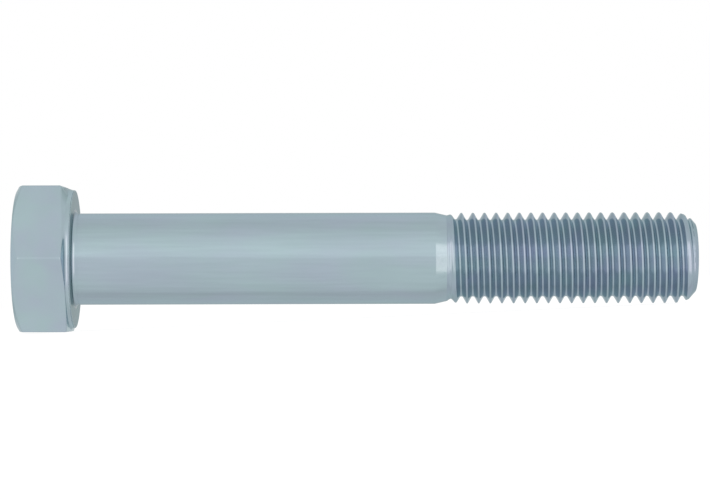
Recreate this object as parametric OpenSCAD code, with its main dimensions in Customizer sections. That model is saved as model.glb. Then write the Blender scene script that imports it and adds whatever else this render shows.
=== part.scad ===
// Hex head bolt with a plain shank and a fine metric thread.
// The bolt's axis lies along X, with the head towards -X and the tip towards +X.
// The origin is at the centre of the bearing face, and +Z looks out of one flat of the hexagon.
// All sizes are in millimetres.

/* [Bolt] */
// Length from the bearing face to the tip
bolt_length = 80; // [60:1:120]
// Nominal diameter of the thread and the shank
nominal_d = 12; // [10:0.5:15]
// How much the plain shank is under the nominal diameter
shank_allowance = 0.2; // [0:0.05:0.3]

/* [Head] */
// Width across the flats of the hexagon
across_flats = 18.7; // [15:0.1:24]
// Height of the head, with its washer face
head_height = 7.4; // [5:0.1:10]
// Distance from a flat to the circle where the top chamfer starts
top_step = 0.45; // [0.1:0.05:0.8]
// Slope of the chamfer on top of the head, in degrees
top_chamfer_angle = 30; // [15:1:35]
// Distance from a flat to the edge of the washer face
washer_step = 0.4; // [0.1:0.05:0.8]
// Thickness of the washer face
washer_thickness = 0.5; // [0.1:0.05:0.7]
// Slope of the chamfer on the underside corners, in degrees
under_chamfer_angle = 8; // [3:1:30]
// Radius of the fillet between the bearing face and the shank
fillet_r = 0.5; // [0.3:0.1:1.1]

/* [Thread] */
// Pitch of the right-hand thread
pitch = 1.5; // [1:0.25:2]
// How much the thread's crests are under the nominal diameter
thread_allowance = 0.26; // [0.2:0.02:0.4]
// Length of the thread, with its run-out and the point
thread_length = 32.2; // [16:0.1:45]
// Distance from the start of the thread to its first crest, measured on the +Z side
first_crest = 0.5; // [0:0.05:1.5]
// Length over which the thread fades in from the neck
runout_length = 2; // [1:0.1:4]
// Length of the neck that leads down from the shank to the thread
neck_length = 1.5; // [0.8:0.1:3]
// How far the rolled crests stand above the end of the neck
crest_rise = 0.3; // [0.1:0.05:0.4]
// Length over which the last crests come down towards the point
lead_length = 2.65; // [1:0.05:5]
// How far the last crests come down over that length
lead_drop = 0.7; // [0.2:0.05:0.9]
// Length of the point past the last turn
point_length = 0.45; // [0.2:0.05:1.5]
// Slope of the point's edge to the bolt's axis, in degrees
point_angle = 48; // [30:1:60]

/* [Hidden] */

zinc = [0.65, 0.71, 0.74];
round_steps = 96;
steps_per_turn = 48;

// Head
corner_r = across_flats / sqrt(3);
top_r = across_flats / 2 - top_step;
washer_r = across_flats / 2 - washer_step;
top_chamfer_depth = (corner_r - top_r) * tan(top_chamfer_angle);
under_chamfer_depth = (corner_r - washer_r) * tan(under_chamfer_angle);
hexagon_height = head_height - washer_thickness;

// Shank and neck
shank_r = (nominal_d - shank_allowance) / 2;
fillet_base_r = shank_r + fillet_r;
thread_start = bolt_length - thread_length;
neck_start = thread_start - neck_length;
shank_length = neck_start - fillet_r;

// Thread, with the 60 degree metric profile. Its full triangle is cut off at the crest and the
// root, which leaves 17/24 of the height and a crest of 1/8 of the pitch.
flank_lean = 30;
triangle_height = pitch / (2 * tan(flank_lean));
depth_share = 17 / 24;
crest_share = 1 / 8;
crest_r = (nominal_d - thread_allowance) / 2;
thread_depth = depth_share * triangle_height;
root_r = crest_r - thread_depth;
crest_flat = crest_share * pitch;
root_flat = pitch - crest_flat - 2 * thread_depth * tan(flank_lean);
neck_end_r = crest_r - crest_rise;

// Point. The thread ends where its crests have come down to just under the root.
root_margin = 0.03;
point_start = bolt_length - point_length;
point_r = root_r - root_margin;
tip_r = point_r - point_length * tan(point_angle);
lead_start = point_start - lead_length;

// The thread is a grid of points, with one column for each step of a turn. Its rows follow the
// helix, so a column's rows are one pitch further on after a full turn. Four rows make one pitch:
// the two edges of the crest and the two edges of the root.
rows_per_pitch = 4;
first_turn = -2;
last_turn = ceil((point_start - thread_start) / pitch) + 1;
row_count = (last_turn - first_turn) * rows_per_pitch;
row_offsets = [-crest_flat / 2, crest_flat / 2, (pitch - root_flat) / 2, (pitch + root_flat) / 2];
row_radii = [crest_r, crest_r, root_r, root_r];

function row_x(step, row) =
    thread_start + first_crest + pitch * step / steps_per_turn
    + pitch * (first_turn + floor(row / rows_per_pitch)) + row_offsets[row % rows_per_pitch];

// How much of the full profile the rolling has formed at x, from nothing at the neck to all of
// it. The root is pressed in fast at first, and the crest rises evenly.
function formed(x, full_r) =
    let (share = min(1, (x - thread_start) / runout_length))
    full_r < neck_end_r ? 1 - pow(1 - share, 2) : share;

// The largest radius at x under the curve that brings the last crests down
function lead_r(x) = crest_r - lead_drop * pow(max(0, x - lead_start) / lead_length, 2);

// The largest radius at x under the point's own cone, carried on over the last turns
function cone_r(x) = point_r + (point_start - x) * tan(point_angle);

function thread_r(x, full_r) =
    min(neck_end_r + formed(x, full_r) * (full_r - neck_end_r), lead_r(x), cone_r(x));

// A place on the thread. Turning from +Z over -Y to -Z goes along with the right-hand helix.
function around(step, x, r) =
    let (turn = 360 * step / steps_per_turn)
    [x, -r * sin(turn), r * cos(turn)];

// The number of a grid point in the list of points. Rows that lie before or past the thread
// share the point of the end ring in their column.
function grid_point(step, row) =
    step == steps_per_turn ? grid_point(0, row + rows_per_pitch)
    : row_x(step, row) <= thread_start ? step
    : row >= row_count || row_x(step, row) >= point_start ? steps_per_turn + step
    : (2 + row) * steps_per_turn + step;

// A four-sided patch of the grid as two triangles, without those that have shrunk to a line
function patch(a, b, c, d) = [
    for (corners = [[a, b, c], [a, c, d]])
        if (corners[0] != corners[1] && corners[1] != corners[2] && corners[2] != corners[0])
            corners
];

// Turns a shape made round Z so that it lies round X, with its bottom at x
module along_axis(x) {
    translate([x, 0, 0])
        rotate([0, 90, 0])
            children();
}

// Forged hexagon, chamfered on top and on the corners of the underside
module hex_head() {
    color(zinc)
        along_axis(-head_height)
            intersection() {
                rotate([0, 0, 30])
                    cylinder(r = corner_r, h = hexagon_height, $fn = 6);
                rotate_extrude($fn = round_steps)
                    polygon([
                        [0, 0],
                        [top_r, 0],
                        [corner_r, top_chamfer_depth],
                        [corner_r, hexagon_height - under_chamfer_depth],
                        [washer_r, hexagon_height],
                        [0, hexagon_height]
                    ]);
            }
}

// Raised ring under the head that bears on the clamped part
module washer_face() {
    color(zinc)
        along_axis(-washer_thickness)
            rotate_extrude($fn = round_steps)
                translate([fillet_base_r, 0])
                    square([washer_r - fillet_base_r, washer_thickness]);
}

// Root of the shank, which fills the ring and narrows to the shank in a hollow fillet
module underhead_fillet() {
    color(zinc)
        along_axis(-washer_thickness)
            rotate_extrude($fn = round_steps)
                difference() {
                    square([fillet_base_r, washer_thickness + fillet_r]);
                    translate([fillet_base_r, washer_thickness + fillet_r])
                        circle(r = fillet_r, $fn = round_steps);
                }
}

// Plain round shank
module shank() {
    color(zinc)
        along_axis(fillet_r)
            cylinder(r = shank_r, h = shank_length, $fn = round_steps);
}

// Short cone from the shank down to the diameter that the thread is rolled on
module thread_neck() {
    color(zinc)
        along_axis(neck_start)
            cylinder(r1 = shank_r, r2 = neck_end_r, h = neck_length, $fn = round_steps);
}

// Right-hand thread with its core, from the run-out to the point
module thread() {
    start_ring = [for (step = [0 : steps_per_turn - 1]) around(step, thread_start, neck_end_r)];
    end_ring = [for (step = [0 : steps_per_turn - 1]) around(step, point_start, point_r)];
    grid = [
        for (row = [0 : row_count - 1], step = [0 : steps_per_turn - 1])
            let (x = row_x(step, row))
            around(step, x, thread_r(x, row_radii[row % rows_per_pitch]))
    ];
    sides = [
        for (step = [0 : steps_per_turn - 1], row = [0 : row_count - 1])
            each patch(
                grid_point(step, row),
                grid_point(step, row + 1),
                grid_point(step + 1, row + 1),
                grid_point(step + 1, row)
            )
    ];
    start_cap = [for (step = [0 : steps_per_turn - 1]) step];
    end_cap = [for (step = [steps_per_turn - 1 : -1 : 0]) steps_per_turn + step];
    color(zinc)
        polyhedron(concat(start_ring, end_ring, grid), concat([start_cap, end_cap], sides));
}

// Chamfered end past the last turn, with the flat tip
module thread_point() {
    color(zinc)
        along_axis(point_start)
            cylinder(r1 = point_r, r2 = tip_r, h = point_length, $fn = round_steps);
}

hex_head();
washer_face();
underhead_fillet();
shank();
thread_neck();
thread();
thread_point();
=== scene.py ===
"""A zinc-plated hexagon head bolt with a plain shank and a fine rolled thread, lying on a pale table."""

import math

import bpy
import numpy as np
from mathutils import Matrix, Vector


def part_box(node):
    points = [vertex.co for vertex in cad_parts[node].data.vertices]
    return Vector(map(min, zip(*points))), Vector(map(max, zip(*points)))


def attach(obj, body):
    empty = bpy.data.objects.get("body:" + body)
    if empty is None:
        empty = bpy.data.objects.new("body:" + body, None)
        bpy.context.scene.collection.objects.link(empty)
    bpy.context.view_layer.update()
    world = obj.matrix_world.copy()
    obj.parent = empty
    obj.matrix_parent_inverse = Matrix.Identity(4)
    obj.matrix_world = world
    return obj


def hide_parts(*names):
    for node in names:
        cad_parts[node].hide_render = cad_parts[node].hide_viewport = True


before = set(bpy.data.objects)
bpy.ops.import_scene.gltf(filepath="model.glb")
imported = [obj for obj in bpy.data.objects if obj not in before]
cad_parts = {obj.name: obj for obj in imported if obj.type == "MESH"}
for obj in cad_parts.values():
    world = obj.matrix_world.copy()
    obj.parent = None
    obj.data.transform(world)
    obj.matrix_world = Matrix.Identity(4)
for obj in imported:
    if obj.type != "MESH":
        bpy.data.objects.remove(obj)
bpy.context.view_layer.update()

# ---------------------------------------------------------------------------------------------
# Camera. A long lens on a low stand looks square at the side of the bolt, tipped up to it by
# less than a degree and rolled by a fraction of a degree.

MM = 0.001
CAMERA_DISTANCE = 372 * MM
CAMERA_AIM = (36.07 * MM, 0.0, 1.09 * MM)
CAMERA_TIP = math.radians(0.8)
CAMERA_ROLL = math.radians(0.15)
CAMERA_LEVEL = math.radians(90)
LENS_MM = 146
SENSOR_MM = 36
NEAREST_SEEN = 10 * MM
FURTHEST_SEEN = 20

camera_data = bpy.data.cameras.new("side_camera")
camera_data.lens = LENS_MM
camera_data.sensor_width = SENSOR_MM
camera_data.clip_start = NEAREST_SEEN
camera_data.clip_end = FURTHEST_SEEN
camera = bpy.data.objects.new("side_camera", camera_data)
camera.location = (
    CAMERA_AIM[0],
    CAMERA_AIM[1] - CAMERA_DISTANCE * math.cos(CAMERA_TIP),
    CAMERA_AIM[2] - CAMERA_DISTANCE * math.sin(CAMERA_TIP),
)
camera.rotation_mode = "XYZ"
camera.rotation_euler = (CAMERA_LEVEL + CAMERA_TIP, CAMERA_ROLL, 0)
bpy.context.scene.collection.objects.link(camera)
bpy.context.scene.camera = camera

# ---------------------------------------------------------------------------------------------
# Light. A white tent stands round the bolt, brightest just above level in front, and dimmest behind
# on either side of level. Two tall, soft, warm windows stand to the right and the left of the
# camera, the left one a little wider and brighter.

# Brightness against the angle round the bolt's axis, in degrees: 0 in front, 90 overhead
ROOM_BRIGHTNESS = [
    (-180, 0.82), (-173, 0.76), (-165, 0.62), (-150, 0.74), (-137, 0.82), (-122, 0.80),
    (-108, 0.80), (-103, 0.755), (-97, 0.79), (-90, 0.875), (-83, 0.895), (-70, 0.935),
    (-54, 0.955), (-27, 0.975), (-5, 0.99), (2, 1.0), (7, 1.13), (12, 1.12),
    (25, 1.08), (40, 1.04), (53, 0.975), (68, 0.92), (81, 0.87), (101, 0.84),
    (122, 0.89), (135, 0.87), (150, 0.78), (165, 0.62), (173, 0.76), (180, 0.82),
]
SIDE_BRIGHTNESS = 0.9
# How far to the right and to the left the sides of the tent start, 1 being straight to the side,
# and how wide that edge fades
SIDE_FROM = (0.82, 0.68)
SIDE_EDGE = 0.2
# Azimuth of either edge, in degrees from the camera towards the right, and extra brightness
WINDOWS = [(25, 68, 0.6), (-68, -18, 0.65)]
# Elevation of the lower and the upper edge, and how wide an edge fades, in degrees
WINDOW_ELEVATION = (-33, 33)
WINDOW_EDGE = 12
WINDOW_COLOUR = (1.0, 0.77, 0.74)
WHITE = (1, 1, 1)


def feed(tree, socket, value):
    """Link another socket to this one, or set it to a plain value."""
    if isinstance(value, bpy.types.NodeSocket):
        tree.links.new(value, socket)
    else:
        socket.default_value = value


def maths(tree, operation, *values):
    """A Math node of the given operation, fed with sockets or plain numbers."""
    node = tree.nodes.new("ShaderNodeMath")
    node.operation = operation
    for socket, value in zip(node.inputs, values):
        feed(tree, socket, value)
    return node.outputs[0]


def step_up(tree, value, middle, width):
    """A smooth step from 0 to 1 as the value passes `middle`, spread over `width`."""
    node = tree.nodes.new("ShaderNodeMapRange")
    node.interpolation_type = "SMOOTHSTEP"
    tree.links.new(value, node.inputs["Value"])
    node.inputs["From Min"].default_value = middle - width / 2
    node.inputs["From Max"].default_value = middle + width / 2
    return node.outputs["Result"]


def ramp(tree, value, stops):
    """A colour that runs straight from stop to stop, each a place from 0 to 1 and a colour."""
    node = tree.nodes.new("ShaderNodeValToRGB")
    tree.links.new(value, node.inputs["Fac"])
    while len(node.color_ramp.elements) < len(stops):
        node.color_ramp.elements.new(0.5)
    for element, (place, colour) in zip(node.color_ramp.elements, stops):
        element.position = place
        element.color = (*colour, 1)
    return node.outputs["Color"]


def grey(level):
    """The colour with all three numbers at one level."""
    return (level, level, level)


def shine(tree, colour, strength):
    """Light of one colour from all round, with a socket or a plain number for its strength."""
    node = tree.nodes.new("ShaderNodeBackground")
    node.inputs["Color"].default_value = (*colour, 1)
    feed(tree, node.inputs["Strength"], strength)
    return node.outputs[0]


world = bpy.data.worlds.new("white_tent")
world.use_nodes = True
bpy.context.scene.world = world
tree = world.node_tree
tree.nodes.clear()
direction = tree.nodes.new("ShaderNodeTexCoord")
split = tree.nodes.new("ShaderNodeSeparateXYZ")
tree.links.new(direction.outputs["Generated"], split.inputs[0])
towards_front = maths(tree, "MULTIPLY", split.outputs["Y"], -1.0)
round_axis = maths(tree, "ARCTAN2", split.outputs["Z"], towards_front)
round_share = maths(tree, "MULTIPLY_ADD", round_axis, 0.5 / math.pi, 0.5)
room_stops = [((angle + 180) / 360, grey(level)) for angle, level in ROOM_BRIGHTNESS]
room = ramp(tree, round_share, room_stops)
towards_left = maths(tree, "MULTIPLY", split.outputs["X"], -1.0)
right_side = step_up(tree, split.outputs["X"], SIDE_FROM[0], SIDE_EDGE)
left_side = step_up(tree, towards_left, SIDE_FROM[1], SIDE_EDGE)
side = maths(tree, "ADD", right_side, left_side)
lit_side = maths(tree, "MULTIPLY", side, maths(tree, "SUBTRACT", SIDE_BRIGHTNESS, room))
tent_strength = maths(tree, "ADD", room, lit_side)
azimuth = maths(tree, "DEGREES", maths(tree, "ARCTAN2", split.outputs["X"], towards_front))
elevation = maths(tree, "DEGREES", maths(tree, "ARCSINE", split.outputs["Z"]))
past_sill = step_up(tree, elevation, WINDOW_ELEVATION[0], WINDOW_EDGE)
past_top = step_up(tree, elevation, WINDOW_ELEVATION[1], WINDOW_EDGE)
height_share = maths(tree, "SUBTRACT", past_sill, past_top)
glow = 0.0
for left, right, extra in WINDOWS:
    past_left = step_up(tree, azimuth, left, WINDOW_EDGE)
    past_right = step_up(tree, azimuth, right, WINDOW_EDGE)
    width_share = maths(tree, "SUBTRACT", past_left, past_right)
    window = maths(tree, "MULTIPLY", maths(tree, "MULTIPLY", width_share, height_share), extra)
    glow = maths(tree, "ADD", glow, window)
room_light = tree.nodes.new("ShaderNodeAddShader")
tree.links.new(shine(tree, WHITE, tent_strength), room_light.inputs[0])
tree.links.new(shine(tree, WINDOW_COLOUR, glow), room_light.inputs[1])
# The camera sees plain white past the table, and the tent and the windows light everything else
seen = tree.nodes.new("ShaderNodeLightPath")
either = tree.nodes.new("ShaderNodeMixShader")
tree.links.new(seen.outputs["Is Camera Ray"], either.inputs[0])
tree.links.new(room_light.outputs[0], either.inputs[1])
tree.links.new(shine(tree, WHITE, 1.0), either.inputs[2])
output = tree.nodes.new("ShaderNodeOutputWorld")
tree.links.new(either.outputs[0], output.inputs["Surface"])

bpy.context.scene.view_settings.view_transform = "Standard"
bpy.context.scene.view_settings.look = "None"

# ---------------------------------------------------------------------------------------------
# Table. A white matt sheet, lit from below, on which the bolt rests with the lower flat of its
# head and with one of its last crests. It is left out of the bolt's reflections.

TABLE_HALF = 4.0
TABLE_GAP = 0.01 * MM
TABLE_GLOW = 0.89
TABLE_GREYS = (0.165, 0.18)
# Lumps to a metre, and layers of ever finer lumps in them
PAPER_GRAIN = (900, 2)
# Levels between which most of a cloud lies
CLOUD_SPAN = (0.3, 0.7)
REST_FROM_WASHER = 0.5 * MM
REST_FROM_TIP = 2.4 * MM

head_low, head_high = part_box("hex_head")
thread_low, thread_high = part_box("thread")
point_low, point_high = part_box("thread_point")
crest_radius = (thread_high[2] - thread_low[2]) / 2


def cloud(tree, place, scale, detail):
    """Soft noise from 0 to 1, with `scale` lumps to a unit of place and `detail` layers in them."""
    node = tree.nodes.new("ShaderNodeTexNoise")
    tree.links.new(place, node.inputs["Vector"])
    node.inputs["Scale"].default_value = scale
    node.inputs["Detail"].default_value = detail
    return node.outputs["Fac"]


def toned(tree, noise, dark, light):
    """A grey that goes straight from dark to light over the levels where most of a cloud lies."""
    return ramp(tree, noise, [(CLOUD_SPAN[0], grey(dark)), (CLOUD_SPAN[1], grey(light))])


head_rest = (head_high[0] - REST_FROM_WASHER, head_low[2])
tip_rest = (point_high[0] - REST_FROM_TIP, -crest_radius)
slope = (tip_rest[1] - head_rest[1]) / (tip_rest[0] - head_rest[0])
x, y = TABLE_HALF * np.array([(-1, -1), (1, -1), (1, 1), (-1, 1)]).T
z = head_rest[1] + slope * (x - head_rest[0]) - TABLE_GAP
table_mesh = bpy.data.meshes.new("table")
table_mesh.from_pydata(np.stack([x, y, z], axis=-1).tolist(), [], [(0, 1, 2, 3)])
table = bpy.data.objects.new("table", table_mesh)
table.visible_glossy = False
bpy.context.scene.collection.objects.link(table)
paper = bpy.data.materials.new("white_sheet")
paper.use_nodes = True
tree = paper.node_tree
shader = tree.nodes["Principled BSDF"]
place = tree.nodes.new("ShaderNodeTexCoord").outputs["Object"]
paper_grey = toned(tree, cloud(tree, place, *PAPER_GRAIN), *TABLE_GREYS)
tree.links.new(paper_grey, shader.inputs["Base Color"])
shader.inputs["Roughness"].default_value = 1.0
shader.inputs["Specular IOR Level"].default_value = 0.0
shader.inputs["Emission Color"].default_value = (*WHITE, 1)
shader.inputs["Emission Strength"].default_value = TABLE_GLOW
table_mesh.materials.append(paper)

# ---------------------------------------------------------------------------------------------
# Head. Hot steel upset to a hexagon, chamfered on top and less on the underside, then tumbled
# and zinc plated. The die did not fill up on one side, where the underside stands further back.

# Half the angle that one flat of the hexagon takes up
HALF_FLAT = math.pi / 6
CORNER_SOFTNESS = 0.22 * MM
TOP_EDGE_REACH = 0.14 * MM
UNDER_EDGE_REACH = 0.2 * MM
BEARING_EDGE_REACH = 0.03 * MM
# Distance from a corner to the points just outside its bend, in reaches of the bend
BEND_ROOM = 1.25
# How much smaller than the flats the circle is that the chamfer leaves on top
TOP_STEP = 0.45 * MM
TOP_CHAMFER = math.tan(math.radians(30))
UNDER_CHAMFER = math.tan(math.radians(5))
# How far the underside stands back at most, in which direction, and how narrow its bell is
UNFILLED = 0.88 * MM
UNFILLED_TURN = math.radians(-15)
UNFILLED_POWER = 1.4
# Share of a flat that its own points take up, so that they stay clear of the corners' arcs
FLAT_COVER = 0.985
# Step, in metres, to which points are rounded when they are compared
SAME_POINT = 1e-9
# Faces that meet at a larger angle than this keep a hard edge between them
SHARP_EDGE = math.radians(40)

HEAD_ZINC = (0.399, 0.497, 0.549)
HEAD_ROUGHNESS = 0.17
HEAD_PEEL = 0.012 * MM
HEAD_TINGE = 0.02
EDGE_TINT = (0.8, 0.9, 0.92)
# Each cloud's lumps to a metre, and layers of ever finer lumps in them
SHADE_CLOUDS = (140, 5)
HUE_CLOUDS = (250, 2)
ROUGH_GRAIN = (9000, 2)
PEEL_LUMPS = (1600, 3)
SWELLS = (200, 1)
# Drawn lines to a metre, along the bolt and both ways across it
LINE_SCALE = (100, 2500, 2500)
LINE_LAYERS = 4
SHADE_SWING = 0.04
ROUGHNESS_SWING = 0.25
HUE_SPAN = (0.34, 0.66)

washer_low, washer_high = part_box("washer_face")
apothem = head_high[2]
washer_radius = washer_high[1]


def round_bolt(x, radius, turn):
    """Points at distance x along the axis and at a radius from it, turned from +Z towards -Y."""
    x, radius, turn = np.broadcast_arrays(x, radius, turn)
    return np.stack([x, -radius * np.sin(turn), radius * np.cos(turn)], axis=-1)


def bent_path(corners, reach, steps=6):
    """A path through the corners, given as (x, radius), with each inner corner bent.

    Each inner corner gives way to a parabola from a point `reach` before it to a point `reach`
    past it, whose tangents meet in the corner, with one more point just outside either end.
    The corners may be arrays over the turn, so that every direction has its own path.
    """
    corners = [np.stack(np.broadcast_arrays(*corner), axis=-1) for corner in corners]
    path = [corners[0]]
    for before, corner, after, distance in zip(corners, corners[1:], corners[2:], reach):
        back = before - corner
        ahead = after - corner
        back = back / np.linalg.norm(back, axis=-1, keepdims=True)
        ahead = ahead / np.linalg.norm(ahead, axis=-1, keepdims=True)
        path.append(corner + back * distance * BEND_ROOM)
        for t in np.linspace(0, 1, steps + 1):
            path.append(corner + (1 - t) ** 2 * distance * back + t ** 2 * distance * ahead)
        path.append(corner + ahead * distance * BEND_ROOM)
    path.append(corners[-1])
    shape = np.broadcast_shapes(*(point.shape for point in path))
    path = np.stack([np.broadcast_to(point, shape) for point in path])
    return path[..., 0], path[..., 1]


def skin(name, points):
    """A closed surface from a grid of points, whose rows run along the bolt and columns round it.

    Points of the grid that fall together become one vertex, so that the seam, the poles and the
    places where rows run together are closed, and each grid cell becomes a face with the corners
    that are left. Faces look out of the bolt.
    """
    rows, columns = points.shape[:2]
    flat = points.reshape(-1, 3)
    keys = np.round(flat / SAME_POINT).astype(np.int64)
    _, first, number = np.unique(keys, axis=0, return_index=True, return_inverse=True)
    number = number.reshape(rows, columns)
    cells = np.stack([number[:-1, :-1], number[:-1, 1:], number[1:, 1:], number[1:, :-1]], axis=-1)
    cells = cells.reshape(-1, 4)
    doubled = cells == np.roll(cells, -1, axis=1)
    doubles = doubled.sum(axis=1)
    crossed = (cells[:, 0] == cells[:, 2]) | (cells[:, 1] == cells[:, 3])
    quads = cells[(doubles == 0) & ~crossed]
    shrunk = (doubles == 1) & ~crossed
    triangles = cells[shrunk][~doubled[shrunk]].reshape(-1, 3)
    mesh = bpy.data.meshes.new(name)
    mesh.from_pydata(flat[first].tolist(), [], quads.tolist() + triangles.tolist())
    mesh.polygons.foreach_set("use_smooth", np.ones(len(mesh.polygons), dtype=bool))
    mesh.set_sharp_from_angle(angle=SHARP_EDGE)
    mesh.update()
    piece = bpy.data.objects.new(name, mesh)
    bpy.context.scene.collection.objects.link(piece)
    return piece


def corner_arc(apothem, softness):
    """Where a rounded corner's circle has its centre, and how far it reaches round the axis.

    The hexagon is a smaller one grown by `softness` on all sides, so the centre is the smaller
    one's corner. The arc ends where its radius stands square on the flat.
    """
    centre = (apothem - softness) / math.cos(HALF_FLAT)
    arc_end = math.atan2(softness * math.sin(HALF_FLAT), centre + softness * math.cos(HALF_FLAT))
    return centre, arc_end


def hexagon_radius(turn, apothem, softness):
    """Distance from the axis to a hexagon with rounded corners, with a flat square to +Z.

    Within a corner's arc it is the distance to the far side of the circle, which is that to the
    middle of the chord plus half of the chord. Outside the arc it is the distance to the flat.
    """
    centre, arc_end = corner_arc(apothem, softness)
    from_flat = (turn + HALF_FLAT) % (2 * HALF_FLAT) - HALF_FLAT
    from_corner = HALF_FLAT - np.abs(from_flat)
    half_chord = np.sqrt(np.maximum(softness ** 2 - (centre * np.sin(from_corner)) ** 2, 0))
    on_arc = centre * np.cos(from_corner) + half_chord
    return np.where(from_corner < arc_end, on_arc, apothem / np.cos(from_flat))


def hexagon_turns(apothem, softness, flat_steps=22, arc_steps=6):
    """Angles of a full turn that lie close together on the six corners' arcs."""
    _, arc_end = corner_arc(apothem, softness)
    flat_end = (HALF_FLAT - arc_end) * FLAT_COVER
    flat = np.linspace(-flat_end, flat_end, flat_steps + 1)
    arc = HALF_FLAT + np.linspace(-arc_end, arc_end, arc_steps + 1)
    side = np.concatenate([flat, arc])
    sides = [side + corner * math.pi / 3 for corner in range(6)]
    return np.concatenate([*sides, [side[0] + 2 * math.pi]])


def unfilled(turn):
    """How far the underside's edge stands back, a bell that is highest at UNFILLED_TURN.

    It is half of one plus the cosine of the angle from there, raised to a power.
    """
    return UNFILLED * ((1 + np.cos(turn - UNFILLED_TURN)) / 2) ** UNFILLED_POWER


def product(tree, first, second):
    """The product, number by number, of a colour or place and another one, or three plain numbers."""
    node = tree.nodes.new("ShaderNodeVectorMath")
    node.operation = "MULTIPLY"
    tree.links.new(first, node.inputs[0])
    feed(tree, node.inputs[1], second)
    return node.outputs[0]


def zinc(
    name, colour, roughness, peel, drawn, tinge, length=1.0, streaks=0.0, wave=0.0, edge_tint=EDGE_TINT
):
    """Satin zinc on steel, made of noise at six sizes.

    Clouds of 7 mm make the colour up to 4 % lighter or darker, and clouds of 4 mm lean it towards
    violet or green by `tinge`. Grain of 0.1 mm makes the roughness up to a quarter more or less.
    The relief is an orange peel `peel` high with lumps of 0.6 mm, a wave `wave` high with swells
    of 5 mm, and lines 0.4 mm wide and `drawn` high that run along the bolt and are up to
    `streaks` lighter or darker. The clouds and the swells are `length` times as long along the
    bolt. Seen almost edge on, the metal keeps the share `edge_tint` of its sheen.
    """
    finish = bpy.data.materials.new(name)
    finish.use_nodes = True
    tree = finish.node_tree
    shader = tree.nodes["Principled BSDF"]
    place = tree.nodes.new("ShaderNodeTexCoord").outputs["Object"]
    long_place = product(tree, place, (1 / length, 1, 1))
    shade_cloud = cloud(tree, long_place, *SHADE_CLOUDS)
    shade = toned(tree, shade_cloud, 1 - SHADE_SWING, 1 + SHADE_SWING)
    violet = tuple(c * t for c, t in zip(colour, (1 + tinge, 1 - tinge, 1 + tinge)))
    green = tuple(c * t for c, t in zip(colour, (1 - tinge, 1 + tinge, 1 - tinge)))
    hue_stops = [(HUE_SPAN[0], violet), (sum(HUE_SPAN) / 2, colour), (HUE_SPAN[1], green)]
    hue = ramp(tree, cloud(tree, long_place, *HUE_CLOUDS), hue_stops)
    line_cloud = cloud(tree, product(tree, place, LINE_SCALE), 1, LINE_LAYERS)
    lined = toned(tree, line_cloud, 1 - streaks, 1 + streaks)
    tree.links.new(product(tree, product(tree, hue, shade), lined), shader.inputs["Base Color"])
    grain = cloud(tree, place, *ROUGH_GRAIN)
    lowest = roughness * (1 - ROUGHNESS_SWING)
    grainy = maths(tree, "MULTIPLY_ADD", grain, 2 * roughness * ROUGHNESS_SWING, lowest)
    tree.links.new(grainy, shader.inputs["Roughness"])
    lumps = maths(tree, "MULTIPLY", cloud(tree, place, *PEEL_LUMPS), peel)
    swells = maths(tree, "MULTIPLY", cloud(tree, long_place, *SWELLS), wave)
    lines = maths(tree, "MULTIPLY", line_cloud, drawn)
    relief = maths(tree, "ADD", maths(tree, "ADD", lumps, swells), lines)
    bump = tree.nodes.new("ShaderNodeBump")
    bump.inputs["Strength"].default_value = 1
    bump.inputs["Distance"].default_value = 1
    tree.links.new(relief, bump.inputs["Height"])
    tree.links.new(bump.outputs["Normal"], shader.inputs["Normal"])
    shader.inputs["Metallic"].default_value = 1
    shader.inputs["Specular Tint"].default_value = (*edge_tint, 1)
    return finish


turn = hexagon_turns(apothem, CORNER_SOFTNESS)
hexagon = hexagon_radius(turn, apothem, CORNER_SOFTNESS)
top_radius = apothem - TOP_STEP
under_edge = head_high[0] - (hexagon - washer_radius) * UNDER_CHAMFER - unfilled(turn)
head_x, head_radius = bent_path(
    [
        (head_low[0], 0.0),
        (head_low[0], top_radius),
        (head_low[0] + (hexagon - top_radius) * TOP_CHAMFER, hexagon),
        (under_edge, hexagon),
        (head_high[0], washer_radius),
        (head_high[0], 0.0),
    ],
    reach=(TOP_EDGE_REACH, TOP_EDGE_REACH, UNDER_EDGE_REACH, BEARING_EDGE_REACH),
)
head = skin("forged_head", round_bolt(head_x, head_radius, turn))
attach(head, "root")
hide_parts("hex_head")
head_zinc = zinc("satin_zinc_head", HEAD_ZINC, HEAD_ROUGHNESS, peel=HEAD_PEEL, drawn=0, tinge=HEAD_TINGE)
head.data.materials.append(head_zinc)

# ---------------------------------------------------------------------------------------------
# Washer face. A low ring under the head, forged in one with it, that bears on the work. It
# leaves the head in a hollow curve, its rim is rounded, and its flat face is rougher zinc, darkened by
# painted shade.

TURN_STEPS = 144
FOOT_SPREAD = 0.2 * MM
WAIST_FROM_FACE = 0.32 * MM
WAIST_IN = 0.03 * MM
RIM_IN = 0.05 * MM
FOOT_REACH = 0.01 * MM
WAIST_REACH = 0.2 * MM
RIM_REACH = 0.12 * MM
HOLE_EDGE_REACH = 0.005 * MM
FACE_ZINC_PAINTED_SHADE = (0.30, 0.385, 0.42)
FACE_EDGE_TINT = (0.68, 0.76, 0.76)
FACE_ROUGHNESS = 0.3
# How far back from the bearing plane a face may lie and still have the rougher finish with painted shade
FACE_DEPTH = 0.004 * MM

root_low, root_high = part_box("underhead_fillet")
root_radius = root_high[1]


def ring_of_angles(steps):
    """Even angles of a full turn, with the first one again as the last."""
    return np.linspace(0, 2 * math.pi, steps + 1)


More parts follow.
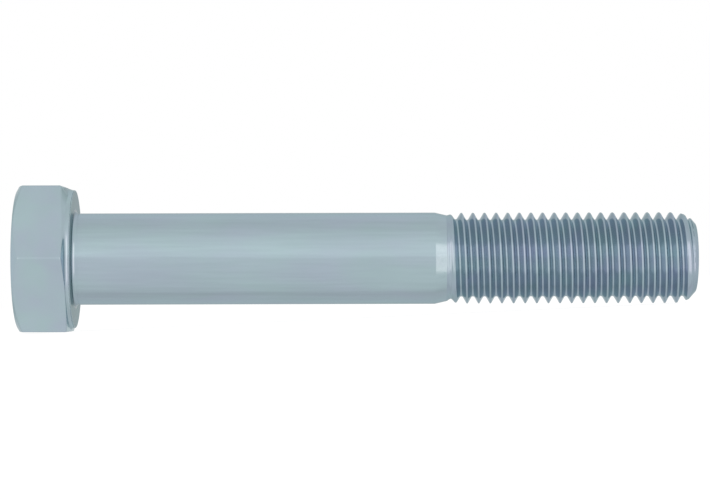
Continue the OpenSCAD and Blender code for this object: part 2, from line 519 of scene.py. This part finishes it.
round_turn = ring_of_angles(TURN_STEPS)
edge_radius = hexagon_radius(round_turn, apothem, CORNER_SOFTNESS)
back_slope = UNDER_CHAMFER + unfilled(round_turn) / (edge_radius - washer_radius)
washer_x, ring_radius = bent_path(
    [
        (washer_low[0], root_radius),
        (washer_low[0] - FOOT_SPREAD * back_slope, washer_radius + FOOT_SPREAD),
        (washer_high[0] - WAIST_FROM_FACE, washer_radius - WAIST_IN),
        (washer_high[0], washer_radius - RIM_IN),
        (washer_high[0], root_radius),
        (washer_low[0], root_radius),
    ],
    reach=(FOOT_REACH, WAIST_REACH, RIM_REACH, HOLE_EDGE_REACH),
)
washer = skin("washer_ring", round_bolt(washer_x, ring_radius, round_turn))
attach(washer, "root")
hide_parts("washer_face")
washer.data.materials.append(head_zinc)
# Painted shade: the bearing face gets a darker zinc colour and a weaker sheen at grazing angles than the
# head
face_zinc_painted_shade = zinc(
    "zinc_face_painted_shade",
    FACE_ZINC_PAINTED_SHADE,
    FACE_ROUGHNESS,
    peel=HEAD_PEEL,
    drawn=0,
    tinge=HEAD_TINGE,
    edge_tint=FACE_EDGE_TINT,
)
washer.data.materials.append(face_zinc_painted_shade)
middles = np.empty(len(washer.data.polygons) * 3)
washer.data.polygons.foreach_get("center", middles)
# Faces on the bearing plane take the finish with painted shade
on_face = middles[::3] > washer_high[0] - FACE_DEPTH
washer.data.polygons.foreach_set("material_index", on_face.astype(np.int32))

# ---------------------------------------------------------------------------------------------
# Root of the shank. The steel flows from the bearing face into the shank in a small hollow
# fillet, whose colour is darkened next to the bearing face by painted shade.

FILLET_STEPS = 16
SHANK_ZINC = (0.38, 0.475, 0.525)
SHANK_ROUGHNESS = 0.16
SHANK_PEEL = 0.008 * MM
SHANK_TINGE = 0.018
RECESS_DRAWN = 0.006 * MM
RECESS_STREAKS = 0.02
RECESS_EDGE_TINT = (0.75, 0.82, 0.84)
# Share of its brightness that the painted shade leaves in the recess, where that shade ends, and its fade
RECESS_PAINTED_SHADE = 0.35
RECESS_END = 0.05 * MM
RECESS_FADE = 0.14 * MM

# A quarter of a circle from the bearing face, where x is 0, to the shank
fillet = root_high[0]
bend = np.linspace(0, math.pi / 2, FILLET_STEPS + 1)
fillet_x = np.concatenate([[root_low[0], root_low[0], 0], fillet * (1 - np.cos(bend)), [fillet]])
fillet_radius = np.concatenate([[0, root_radius, root_radius], root_radius - fillet * np.sin(bend), [0]])
root = skin("shank_root", round_bolt(fillet_x[:, None], fillet_radius[:, None], round_turn))
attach(root, "root")
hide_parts("underhead_fillet")
root_zinc_painted_shade = zinc(
    "zinc_recess_painted_shade",
    SHANK_ZINC,
    SHANK_ROUGHNESS,
    peel=SHANK_PEEL,
    drawn=RECESS_DRAWN,
    tinge=SHANK_TINGE,
    streaks=RECESS_STREAKS,
    edge_tint=RECESS_EDGE_TINT,
)
tree = root_zinc_painted_shade.node_tree
shader = tree.nodes["Principled BSDF"]
bright = shader.inputs["Base Color"].links[0].from_socket
# Painted shade: next to the bearing face the colour is darkened to a share of itself, fading out along the
# fillet
along = tree.nodes.new("ShaderNodeSeparateXYZ")
tree.links.new(tree.nodes.new("ShaderNodeTexCoord").outputs["Object"], along.inputs[0])
unshaded_share = step_up(tree, along.outputs["X"], RECESS_END, RECESS_FADE)
recess_shade = ramp(tree, unshaded_share, [(0, grey(RECESS_PAINTED_SHADE)), (1, WHITE)])
tree.links.new(product(tree, bright, recess_shade), shader.inputs["Base Color"])
root.data.materials.append(root_zinc_painted_shade)

# ---------------------------------------------------------------------------------------------
# Shank. Plain drawn bar at its full thickness. Fine lines from the drawing still show along it
# under the plating.

SHANK_ROWS = 60
SHANK_DRAWN = 0.012 * MM
SHANK_STREAKS = 0.024
SHANK_WAVE = 0.08 * MM
SHANK_CLOUD_LENGTH = 2.5

shank_low, shank_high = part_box("shank")
shank_radius = shank_high[1]
shank_places = np.linspace(shank_low[0], shank_high[0], SHANK_ROWS)
shank_x = np.concatenate([shank_places[:1], shank_places, shank_places[-1:]])
shank_r = np.concatenate([[0], np.full(SHANK_ROWS, shank_radius), [0]])
shank = skin("plain_shank", round_bolt(shank_x[:, None], shank_r[:, None], round_turn))
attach(shank, "root")
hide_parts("shank")
shank_zinc = zinc(
    "drawn_zinc_shank",
    SHANK_ZINC,
    SHANK_ROUGHNESS,
    peel=SHANK_PEEL,
    drawn=SHANK_DRAWN,
    tinge=SHANK_TINGE,
    length=SHANK_CLOUD_LENGTH,
    streaks=SHANK_STREAKS,
    wave=SHANK_WAVE,
)
shank.data.materials.append(shank_zinc)

# ---------------------------------------------------------------------------------------------
# Neck. The bar is turned down a little ahead of the thread, because rolling pushes the crests
# back up to the bolt's own diameter. A short cone with a rounded start leads down to it.

CREST_RISE = 0.3 * MM
NECK_START_REACH = 0.05 * MM
# The bend's own reach is a little less, so that all of it lies past the neck's start
NECK_BEND_SHARE = 0.98
NECK_BEND_STEPS = 10
# How far back along the shank the path starts, to give the bend its direction
NECK_LEAD_IN = 0.6 * MM

neck_low, neck_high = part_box("thread_neck")
neck_end_radius = crest_radius - CREST_RISE
neck_x, neck_r = bent_path(
    [
        (neck_low[0] - NECK_LEAD_IN, shank_radius),
        (neck_low[0] + NECK_START_REACH, shank_radius),
        (neck_high[0], neck_end_radius),
    ],
    reach=(NECK_START_REACH * NECK_BEND_SHARE,),
    steps=NECK_BEND_STEPS,
)
in_neck = neck_x > neck_low[0]
neck_x = np.concatenate([[neck_low[0], neck_low[0]], neck_x[in_neck], [neck_high[0]]])
neck_r = np.concatenate([[0, shank_radius], neck_r[in_neck], [0]])
neck = skin("neck", round_bolt(neck_x[:, None], neck_r[:, None], round_turn))
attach(neck, "root")
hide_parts("thread_neck")
neck.data.materials.append(shank_zinc)

# ---------------------------------------------------------------------------------------------
# Thread. A fine right-hand screw thread, rolled between dies, with round crests and roots. It
# grows out of the neck over its first turns, and its last crests come down towards the point.

PITCH = 1.5 * MM
THREAD_DEPTH = 0.919 * MM
# The crest's share of the two radii, of which the root has the rest
CREST_SHARE = 0.38
FLANK = math.radians(60)
FIRST_CREST = 0.5 * MM
RUNOUT = 2.0 * MM
LEAD_LENGTH = 2.65 * MM
LEAD_DROP = 0.7 * MM
POINT_SLOPE = math.tan(math.radians(48))
THREAD_STEPS = 144
# Turns laid out past either end, where they are cut back to it
SPARE_TURNS = 2
THREAD_ZINC = (0.34, 0.42, 0.488)
THREAD_ROUGHNESS = 0.12
THREAD_PEEL = 0.006 * MM
THREAD_TINGE = 0.025

point_radius = point_high[1]
# A round tip falls short of the sharp one by its own radius, so this is both radii together
rounding = PITCH * math.sqrt(3) / 2 - THREAD_DEPTH
crest_bend = rounding * CREST_SHARE
root_bend = rounding - crest_bend


def thread_height(from_root):
    """Height over the thread's root at a distance from the root's middle, half a pitch at most.

    The root and the crest are arcs of circles, and the flank between them is a straight line at
    60 degrees to the axis that touches both.
    """
    from_crest = PITCH / 2 - from_root
    in_root = from_root < root_bend * math.sin(FLANK)
    on_crest = from_crest < crest_bend * math.sin(FLANK)
    hollow = root_bend - np.sqrt(np.maximum(root_bend ** 2 - from_root ** 2, 0))
    crown = THREAD_DEPTH - crest_bend + np.sqrt(np.maximum(crest_bend ** 2 - from_crest ** 2, 0))
    flank = root_bend * (1 - math.cos(FLANK)) + (from_root - root_bend * math.sin(FLANK)) * math.tan(FLANK)
    return np.where(in_root, hollow, np.where(on_crest, crown, flank))


def thread_offsets(arc_steps=4, flank_steps=3):
    """Distances from a crest at which one pitch of the thread has its rows, in order."""
    arc = np.linspace(0, FLANK, arc_steps + 1)
    crest_part = crest_bend * np.sin(arc)
    root_part = PITCH / 2 - root_bend * np.sin(arc[::-1])
    flank_part = np.linspace(crest_part[-1], root_part[0], flank_steps + 1)[1:-1]
    half = np.concatenate([crest_part, flank_part, root_part])
    return np.concatenate([half[:-1], PITCH - half[:0:-1]])


def thread_radius(x, full):
    """Radius of the thread at x, where its full profile would have the radius `full`.

    Over the run-out the crests rise out of the neck in a straight line, and the roots sink by
    one less the square of what is left. The last crests stay under a parabola that falls by
    LEAD_DROP over LEAD_LENGTH, and everything stays under the point's cone carried on.
    """
    share = np.clip((x - thread_low[0]) / RUNOUT, 0, 1)
    formed = np.where(full < neck_end_radius, 1 - (1 - share) ** 2, share)
    grown = neck_end_radius + formed * (full - neck_end_radius)
    past_start = np.maximum(x - (thread_high[0] - LEAD_LENGTH), 0)
    lead = crest_radius - LEAD_DROP * (past_start / LEAD_LENGTH) ** 2
    cone = point_radius + (thread_high[0] - x) * POINT_SLOPE
    return np.minimum(grown, np.minimum(lead, cone))


thread_turn = ring_of_angles(THREAD_STEPS)
offsets = thread_offsets()
whole_turns = math.ceil((thread_high[0] - thread_low[0]) / PITCH)
turns = np.arange(-SPARE_TURNS, whole_turns + SPARE_TURNS)
rows = (turns[:, None] * PITCH + offsets).ravel()
height = thread_height(PITCH / 2 - np.minimum(offsets, PITCH - offsets))
full = np.tile(crest_radius - THREAD_DEPTH + height, len(turns))
x = thread_low[0] + FIRST_CREST + rows[:, None] + PITCH * thread_turn / (2 * math.pi)
x = np.clip(x, thread_low[0], thread_high[0])
radius = thread_radius(x, full[:, None])
x = np.vstack([np.full_like(thread_turn, thread_low[0]), x, np.full_like(thread_turn, thread_high[0])])
radius = np.vstack([np.zeros_like(thread_turn), radius, np.zeros_like(thread_turn)])
thread = skin("rolled_thread", round_bolt(x, radius, thread_turn))
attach(thread, "root")
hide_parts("thread")
thread_zinc = zinc(
    "rolled_zinc_thread", THREAD_ZINC, THREAD_ROUGHNESS, peel=THREAD_PEEL, drawn=0, tinge=THREAD_TINGE
)
thread.data.materials.append(thread_zinc)

# ---------------------------------------------------------------------------------------------
# Point. The end of the bar, chamfered so that the bolt finds its hole, with a flat end whose
# edge the tumbling has rounded.

POINT_START_REACH = 0.002 * MM
POINT_EDGE_REACH = 0.1 * MM

tip_radius = point_radius - (point_high[0] - point_low[0]) * POINT_SLOPE
point_x, point_r = bent_path(
    [
        (point_low[0], 0.0),
        (point_low[0], point_radius),
        (point_high[0], tip_radius),
        (point_high[0], 0.0),
    ],
    reach=(POINT_START_REACH, POINT_EDGE_REACH),
)
point = skin("chamfered_point", round_bolt(point_x[:, None], point_r[:, None], round_turn))
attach(point, "root")
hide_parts("thread_point")
point.data.materials.append(thread_zinc)
